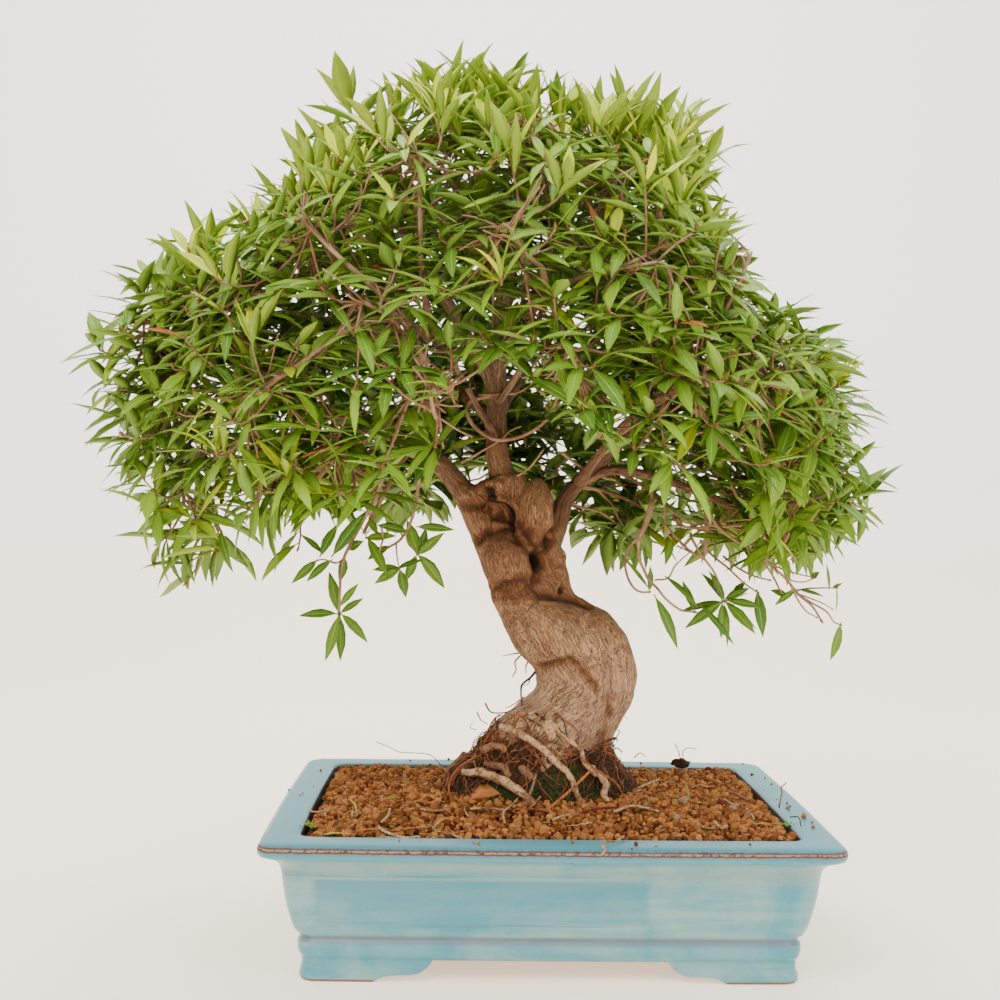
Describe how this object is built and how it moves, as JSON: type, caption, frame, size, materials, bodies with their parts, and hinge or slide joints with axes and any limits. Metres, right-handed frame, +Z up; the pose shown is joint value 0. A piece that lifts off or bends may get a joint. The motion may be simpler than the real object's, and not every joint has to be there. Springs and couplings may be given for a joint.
{
  "type": "bonsai tree in a pot",
  "caption": "Willow-leaved fig bonsai with a curved trunk, surface roots and an open crown of lance-shaped leaves, in a glazed rectangular pot on four feet.",
  "frame": {"origin": "middle of the base of the whole tree's bounding box, on the plane the pot's feet stand on", "axes": "+Z up, -Y towards the viewer of the front, +X to the viewer's right along the pot's long side"},
  "size_m": [0.7708, 0.5792, 0.8049],
  "materials": {
    "pot_glaze": "glossy turquoise-blue glaze",
    "drain_mesh": "matte",
    "soil": "matte clay granules",
    "root_ball": "damp old soil bound by fine roots",
    "bark": "fine-wrinkled bark",
    "leaves": "satin leaf"
  },
  "bodies": {
    "root": {"pot": "pot_glaze", "drain_mesh_left": "drain_mesh", "drain_mesh_right": "drain_mesh", "soil": "soil", "root_ball": "root_ball", "trunk": "bark", "spray_01": "leaves", "spray_02": "leaves", "spray_03": "leaves", "spray_04": "leaves", "spray_05": "leaves", "spray_06": "leaves", "spray_07": "leaves", "spray_08": "leaves", "spray_09": "leaves", "spray_10": "leaves", "spray_11": "leaves", "spray_12": "leaves", "spray_13": "leaves", "spray_14": "leaves", "spray_15": "leaves", "spray_16": "leaves", "spray_17": "leaves", "spray_18": "leaves", "spray_19": "leaves", "spray_20": "leaves", "spray_21": "leaves", "spray_22": "leaves", "spray_23": "leaves", "spray_24": "leaves", "spray_25": "leaves", "spray_26": "leaves", "spray_27": "leaves", "spray_28": "leaves", "spray_29": "leaves", "spray_30": "leaves", "spray_31": "leaves", "spray_32": "leaves", "spray_33": "leaves", "spray_34": "leaves", "spray_35": "leaves", "spray_36": "leaves", "spray_37": "leaves", "spray_38": "leaves", "spray_39": "leaves", "spray_40": "leaves", "spray_41": "leaves", "spray_42": "leaves", "spray_43": "leaves", "spray_44": "leaves", "spray_45": "leaves", "spray_46": "leaves", "spray_47": "leaves", "spray_48": "leaves"}
  },
  "joints": []
}
